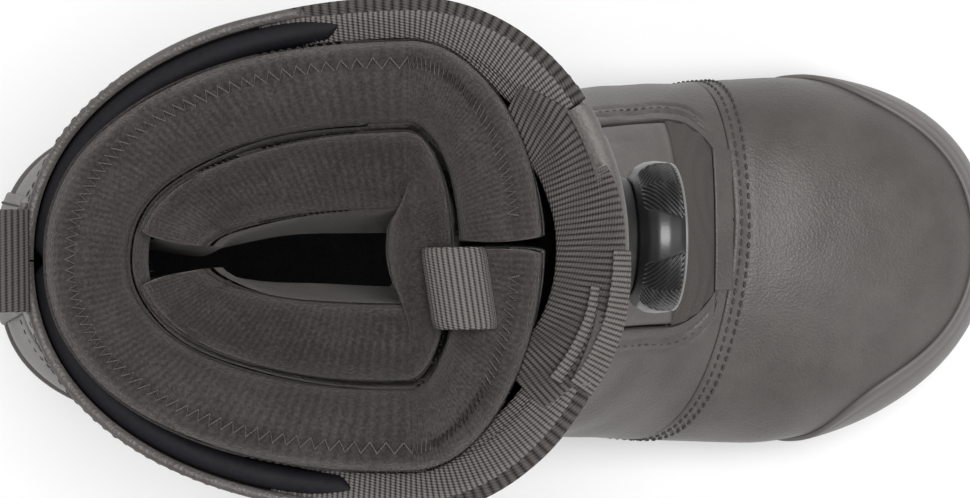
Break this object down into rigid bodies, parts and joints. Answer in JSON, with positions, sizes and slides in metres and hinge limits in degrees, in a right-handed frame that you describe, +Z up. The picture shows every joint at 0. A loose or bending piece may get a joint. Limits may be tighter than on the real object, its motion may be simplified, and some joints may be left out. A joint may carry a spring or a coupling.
{
  "type": "snowboard boot",
  "caption": "Right-foot snowboard boot with a stiff padded shell, a turning-dial closure on its hinged tongue, and a thick foam liner.",
  "frame": {"origin": "on the ground under the middle of the boot's box", "axes": "+X towards the toe, +Y towards the inner (medial) side of a right boot, +Z up"},
  "size_m": [0.304, 0.1182, 0.3002],
  "materials": {
    "shell_leather": "matte grained",
    "toe_rubber": "smooth matte",
    "sole_rubber": "matte",
    "sole_foam": "fine foam skin",
    "nylon": "moulded",
    "fibre_board": "pressed fibre",
    "collar_fabric": "black knit",
    "webbing": "ribbed woven tape",
    "heel_plastic": "moulded matte",
    "gore_fabric": "coated stretch fabric",
    "dial_plastic": "satin",
    "dial_metal": "satin",
    "dial_rubber": "glossy ribbed grip",
    "liner_fabric": "brushed knit over foam",
    "footbed_foam": "felt over foam"
  },
  "bodies": {
    "shell": {"outsole": "sole_rubber", "midsole": "sole_foam", "shank": "nylon", "heel_cushion": "sole_foam", "lasting_board": "fibre_board", "vamp": "shell_leather", "quarter_medial": "shell_leather", "quarter_lateral": "shell_leather", "cuff_medial": "shell_leather", "cuff_lateral": "shell_leather", "collar_pad_medial": "collar_fabric", "collar_pad_lateral": "collar_fabric", "collar_binding_medial": "webbing", "collar_binding_lateral": "webbing", "ankle_overlay_medial": "shell_leather", "ankle_overlay_lateral": "shell_leather", "toe_guard": "toe_rubber", "heel_cup": "heel_plastic", "backstay": "shell_leather", "tongue_gore": "gore_fabric", "liner_body": "liner_fabric", "liner_tongue": "liner_fabric", "footbed": "footbed_foam", "heel_pull_strap": "webbing", "liner_pull_strap": "webbing", "lace_guide_medial_1": "dial_plastic", "lace_guide_medial_2": "dial_plastic", "lace_guide_medial_3": "dial_plastic", "lace_guide_lateral_1": "dial_plastic", "lace_guide_lateral_2": "dial_plastic", "lace_guide_lateral_3": "dial_plastic"},
    "tongue": {"shell_tongue": "shell_leather", "tongue_band": "webbing", "dial_housing": "dial_plastic", "dial_backing_plate": "dial_plastic", "dial_screw": "dial_metal"},
    "drive": {"drive_disc": "nylon", "lace_spool": "nylon"},
    "knob": {"knob_grip": "dial_rubber", "knob_face": "dial_plastic"}
  },
  "joints": [
    {"name": "tongue_fold", "type": "hinge", "parent": "shell", "child": "tongue", "pos_m": [0.0466, 0.01107, 0.09178], "axis": [0, 1, 0], "range_deg": [0, 16]},
    {"name": "knob_turn", "type": "hinge", "parent": "tongue", "child": "drive", "pos_m": [0.02171, 0.00418, 0.195], "axis": [0.9903, 0, -0.1392], "continuous": true},
    {"name": "knob_pull", "type": "slide", "parent": "drive", "child": "knob", "axis": [0.9903, 0, -0.1392], "range_m": [0, 0.003]}
  ]
}
